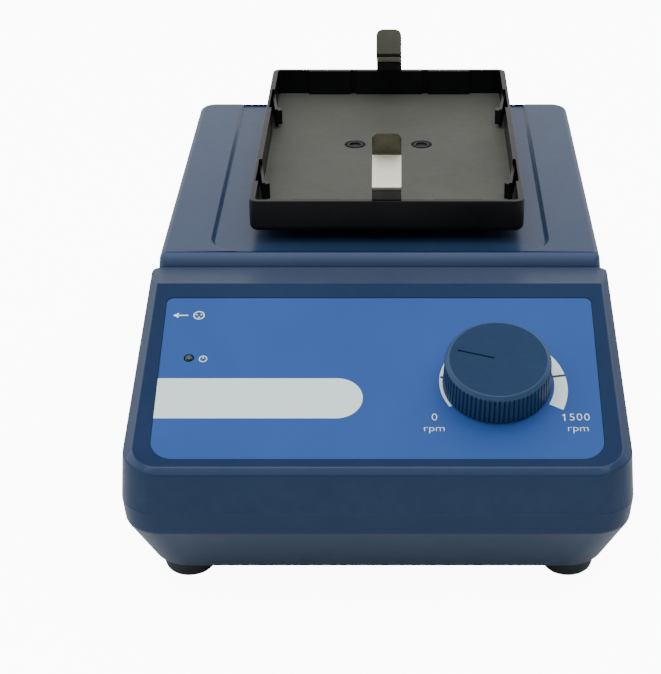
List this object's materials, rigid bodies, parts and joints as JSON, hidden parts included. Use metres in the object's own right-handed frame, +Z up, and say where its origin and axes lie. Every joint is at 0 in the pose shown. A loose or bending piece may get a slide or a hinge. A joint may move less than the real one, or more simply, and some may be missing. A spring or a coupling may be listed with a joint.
{
  "type": "microplate vortex mixer",
  "caption": "Benchtop orbital mixer with a low tray and spring clips for one microplate, a sloping panel and a fluted speed knob.",
  "frame": {"origin": "on the floor under the middle of the whole object's bounding box", "axes": "+X to the operator's right, -Y towards the control panel, +Z up"},
  "size_m": [0.154, 0.2359, 0.1122],
  "materials": {
    "housing_blue": "satin grey-blue coat",
    "housing_dark": "satin dark blue-grey coat",
    "label_blue": "printed film, semi-gloss",
    "black_rubber": "matt",
    "zinc_steel": "plated",
    "black_screw": "blackened",
    "stainless": "brushed spring steel",
    "led_lens": "clear tinted dome",
    "cast_aluminium": "machined",
    "bearing_bronze": "turned",
    "black_plastic": "moulded",
    "tray_black": "moulded, glossy floor",
    "board_green": "solder mask",
    "iron_core": "varnished laminations",
    "coil_tape": "insulating tape",
    "knob_blue": "moulded, semi-gloss"
  },
  "bodies": {
    "base": {"lower_shell": "housing_dark", "front_cover": "housing_blue", "rear_cover": "housing_blue", "panel_label": "label_blue", "rubber_feet": "black_rubber", "foot_screws": "zinc_steel", "cover_screws": "zinc_steel", "potentiometer": "zinc_steel", "potentiometer_nut": "zinc_steel", "power_led": "led_lens", "plate_pillars": "zinc_steel", "drive_plate": "cast_aluminium", "plate_screws": "zinc_steel", "motor_screws": "zinc_steel", "drive_motor": "zinc_steel", "idler_bushings": "bearing_bronze", "mains_inlet": "black_plastic", "inlet_pins": "bearing_bronze", "inlet_screws": "zinc_steel", "switch_bezel": "black_plastic", "control_board": "board_green", "board_posts": "black_plastic", "board_components": "black_plastic", "transformer_core": "iron_core", "transformer_coil": "coil_tape"},
    "drive_crank": {"motor_shaft": "zinc_steel", "eccentric_hub": "zinc_steel", "hub_grub_screw": "zinc_steel", "counterweight": "bearing_bronze"},
    "left_idler": {"left_idler_crank": "zinc_steel"},
    "right_idler": {"right_idler_crank": "zinc_steel"},
    "platform": {"platform_carriage": "cast_aluminium", "carriage_bearings": "zinc_steel", "platform_neck": "cast_aluminium", "neck_screws": "zinc_steel", "microplate_tray": "tray_black", "tray_screws": "black_screw", "clip_screws": "stainless", "front_clip_leg": "stainless", "back_clip_leg": "stainless"},
    "front_clip": {"front_clip_blade": "stainless"},
    "back_clip": {"back_clip_blade": "stainless"},
    "knob": {"speed_knob": "knob_blue", "knob_spindle": "zinc_steel"},
    "rocker": {"power_rocker": "black_plastic"}
  },
  "joints": [
    {"name": "drive_spin", "type": "hinge", "parent": "base", "child": "drive_crank", "pos_m": [0, 0.05509, 0.055], "axis": [0, 0, 1], "continuous": true},
    {"name": "platform_orbit", "type": "hinge", "parent": "drive_crank", "child": "platform", "pos_m": [0.00225, 0.05509, 0.064], "axis": [0, 0, 1], "continuous": true},
    {"name": "left_idler_spin", "type": "hinge", "parent": "base", "child": "left_idler", "pos_m": [-0.036, 0.05509, 0.052], "axis": [0, 0, 1], "continuous": true},
    {"name": "right_idler_spin", "type": "hinge", "parent": "base", "child": "right_idler", "pos_m": [0.036, 0.05509, 0.052], "axis": [0, 0, 1], "continuous": true},
    {"name": "front_clip_flex", "type": "hinge", "parent": "platform", "child": "front_clip", "pos_m": [0.00225, -0.02046, 0.0928], "axis": [1, 0, 0], "range_deg": [0, 52], "stiffness_Nm_per_rad": 0.08},
    {"name": "back_clip_flex", "type": "hinge", "parent": "platform", "child": "back_clip", "pos_m": [0.00225, 0.11064, 0.0928], "axis": [-1, 0, 0], "range_deg": [0, 52], "stiffness_Nm_per_rad": 0.08},
    {"name": "knob_turn", "type": "hinge", "parent": "base", "child": "knob", "pos_m": [0.0362, -0.08754, 0.06441], "axis": [0, -0.3502, 0.9367], "range_deg": [-210, 60]},
    {"name": "power_toggle", "type": "hinge", "parent": "base", "child": "rocker", "pos_m": [-0.055, 0.11316, 0.05493], "axis": [-1, 0, 0], "range_deg": [0, 18]}
  ],
  "couplings": [
    {"joint": "platform_orbit", "follows": "drive_spin", "ratio": -1},
    {"joint": "left_idler_spin", "follows": "drive_spin", "ratio": 1},
    {"joint": "right_idler_spin", "follows": "drive_spin", "ratio": 1}
  ]
}
